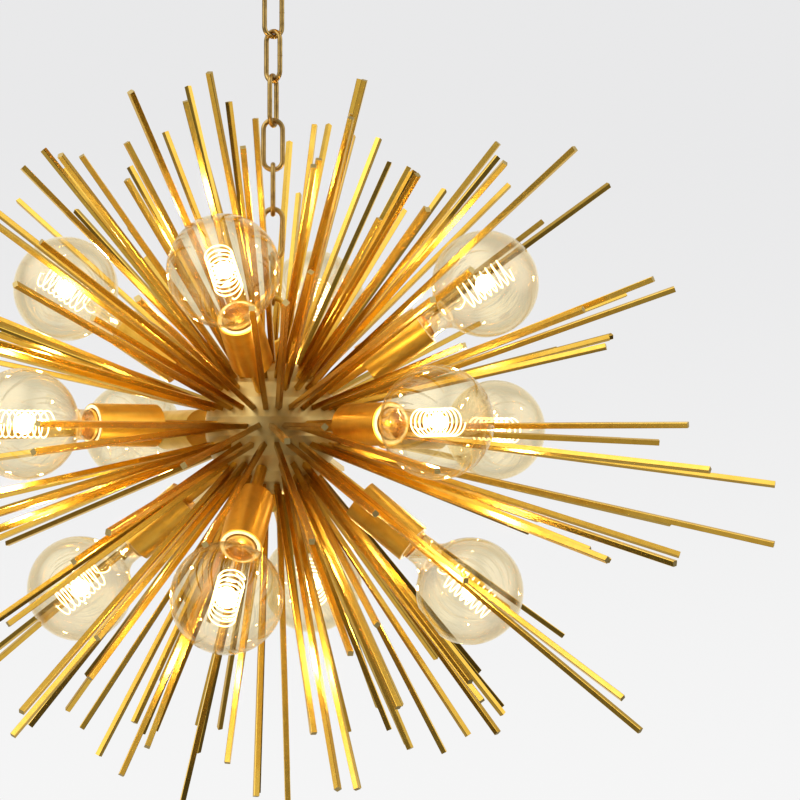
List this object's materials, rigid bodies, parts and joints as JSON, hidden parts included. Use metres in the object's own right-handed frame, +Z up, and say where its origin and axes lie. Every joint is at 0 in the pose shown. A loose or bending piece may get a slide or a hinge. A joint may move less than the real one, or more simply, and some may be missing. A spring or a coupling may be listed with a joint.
{
  "type": "sputnik chandelier",
  "caption": "Starburst chandelier: a faceted brass hub bristling with straight square rods, with globe lamps in holders on arms, hung on a chain from a ceiling canopy.",
  "frame": {"origin": "on the ceiling face, at the middle of the mounting bar", "axes": "+Z up, out of the ceiling face; -Y towards the viewer of the picture; +X to the viewer's right"},
  "size_m": [0.8689, 0.7531, 0.7933],
  "materials": {
    "rod_brass": "aged and lightly brushed",
    "brushed_brass": "brushed round, pale",
    "satin_brass": "satin",
    "chain_brass": "aged satin",
    "cap_brass": "rolled bright",
    "contact_brass": "plain",
    "zinc_steel": "zinc plated",
    "holder_ceramic": "glazed cream",
    "clear_glass": "clear, faintly amber",
    "filament_wire": "glowing warm white"
  },
  "bodies": {
    "ceiling_mount": {"canopy_cup": "satin_brass", "mounting_bar": "zinc_steel", "canopy_collar": "satin_brass", "canopy_loop": "satin_brass"},
    "link_1": {"chain_link_1": "chain_brass"},
    "link_2": {"chain_link_2": "chain_brass"},
    "link_3": {"chain_link_3": "chain_brass"},
    "link_4": {"chain_link_4": "chain_brass"},
    "link_5": {"chain_link_5": "chain_brass"},
    "link_6": {"chain_link_6": "chain_brass"},
    "link_7": {"chain_link_7": "chain_brass"},
    "burst": {"hub_loop": "satin_brass", "hub_upper_shell": "brushed_brass", "hub_band": "brushed_brass", "hub_lower_shell": "brushed_brass", "tie_rod": "zinc_steel", "hub_finial": "satin_brass", "holder_arms": "satin_brass", "holder_cups": "satin_brass", "lampholders": "holder_ceramic", "holder_contacts": "contact_brass", "rods_upper": "rod_brass", "rods_middle": "rod_brass", "rods_lower": "rod_brass"},
    "lamp_1": {"lamp_1_glass": "clear_glass", "lamp_1_cap": "cap_brass", "lamp_1_filament": "filament_wire"},
    "lamp_2": {"lamp_2_glass": "clear_glass", "lamp_2_cap": "cap_brass", "lamp_2_filament": "filament_wire"},
    "lamp_3": {"lamp_3_glass": "clear_glass", "lamp_3_cap": "cap_brass", "lamp_3_filament": "filament_wire"},
    "lamp_4": {"lamp_4_glass": "clear_glass", "lamp_4_cap": "cap_brass", "lamp_4_filament": "filament_wire"},
    "lamp_5": {"lamp_5_glass": "clear_glass", "lamp_5_cap": "cap_brass", "lamp_5_filament": "filament_wire"},
    "lamp_6": {"lamp_6_glass": "clear_glass", "lamp_6_cap": "cap_brass", "lamp_6_filament": "filament_wire"},
    "lamp_7": {"lamp_7_glass": "clear_glass", "lamp_7_cap": "cap_brass", "lamp_7_filament": "filament_wire"},
    "lamp_8": {"lamp_8_glass": "clear_glass", "lamp_8_cap": "cap_brass", "lamp_8_filament": "filament_wire"},
    "lamp_9": {"lamp_9_glass": "clear_glass", "lamp_9_cap": "cap_brass", "lamp_9_filament": "filament_wire"},
    "lamp_10": {"lamp_10_glass": "clear_glass", "lamp_10_cap": "cap_brass", "lamp_10_filament": "filament_wire"},
    "lamp_11": {"lamp_11_glass": "clear_glass", "lamp_11_cap": "cap_brass", "lamp_11_filament": "filament_wire"},
    "lamp_12": {"lamp_12_glass": "clear_glass", "lamp_12_cap": "cap_brass", "lamp_12_filament": "filament_wire"}
  },
  "joints": [
    {"name": "link_1_swing", "type": "hinge", "parent": "ceiling_mount", "child": "link_1", "pos_m": [0, 0, -0.064], "axis": [0.4226, -0.9063, 0], "range_deg": [-8, 8]},
    {"name": "link_2_swing", "type": "hinge", "parent": "link_1", "child": "link_2", "pos_m": [0, 0, -0.1037], "axis": [0.9063, 0.4226, 0], "range_deg": [-8, 8]},
    {"name": "link_3_swing", "type": "hinge", "parent": "link_2", "child": "link_3", "pos_m": [0, 0, -0.1437], "axis": [0.7071, -0.7071, 0], "range_deg": [-8, 8]},
    {"name": "link_4_swing", "type": "hinge", "parent": "link_3", "child": "link_4", "pos_m": [0, 0, -0.1837], "axis": [0.342, 0.9397, 0], "range_deg": [-8, 8]},
    {"name": "link_5_swing", "type": "hinge", "parent": "link_4", "child": "link_5", "pos_m": [0, 0, -0.2237], "axis": [1, 0, 0], "range_deg": [-8, 8]},
    {"name": "link_6_swing", "type": "hinge", "parent": "link_5", "child": "link_6", "pos_m": [0, 0, -0.2637], "axis": [0, 1, 0], "range_deg": [-8, 8]},
    {"name": "link_7_swing", "type": "hinge", "parent": "link_6", "child": "link_7", "pos_m": [0, 0, -0.3037], "axis": [1, 0, 0], "range_deg": [-8, 8]},
    {"name": "burst_swing", "type": "hinge", "parent": "link_7", "child": "burst", "pos_m": [0, 0, -0.3437], "axis": [0, 1, 0], "range_deg": [-8, 8]},
    {"name": "lamp_1_out", "type": "slide", "parent": "burst", "child": "lamp_1", "axis": [-0.1781, -0.8166, 0.549], "range_m": [0, 0.03]},
    {"name": "lamp_2_out", "type": "slide", "parent": "burst", "child": "lamp_2", "axis": [0.8166, -0.1781, 0.549], "range_m": [0, 0.03]},
    {"name": "lamp_3_out", "type": "slide", "parent": "burst", "child": "lamp_3", "axis": [0.1781, 0.8166, 0.549], "range_m": [0, 0.03]},
    {"name": "lamp_4_out", "type": "slide", "parent": "burst", "child": "lamp_4", "axis": [-0.8166, 0.1781, 0.549], "range_m": [0, 0.03]},
    {"name": "lamp_5_out", "type": "slide", "parent": "burst", "child": "lamp_5", "axis": [0.5402, -0.8415, 0], "range_m": [0, 0.03]},
    {"name": "lamp_6_out", "type": "slide", "parent": "burst", "child": "lamp_6", "axis": [0.8415, 0.5402, 0], "range_m": [0, 0.03]},
    {"name": "lamp_7_out", "type": "slide", "parent": "burst", "child": "lamp_7", "axis": [-0.5402, 0.8415, 0], "range_m": [0, 0.03]},
    {"name": "lamp_8_out", "type": "slide", "parent": "burst", "child": "lamp_8", "axis": [-0.8415, -0.5402, 0], "range_m": [0, 0.03]},
    {"name": "lamp_9_out", "type": "slide", "parent": "burst", "child": "lamp_9", "axis": [-0.1651, -0.7572, -0.632], "range_m": [0, 0.03]},
    {"name": "lamp_10_out", "type": "slide", "parent": "burst", "child": "lamp_10", "axis": [0.7572, -0.1651, -0.632], "range_m": [0, 0.03]},
    {"name": "lamp_11_out", "type": "slide", "parent": "burst", "child": "lamp_11", "axis": [0.1651, 0.7572, -0.632], "range_m": [0, 0.03]},
    {"name": "lamp_12_out", "type": "slide", "parent": "burst", "child": "lamp_12", "axis": [-0.7572, 0.1651, -0.632], "range_m": [0, 0.03]}
  ]
}
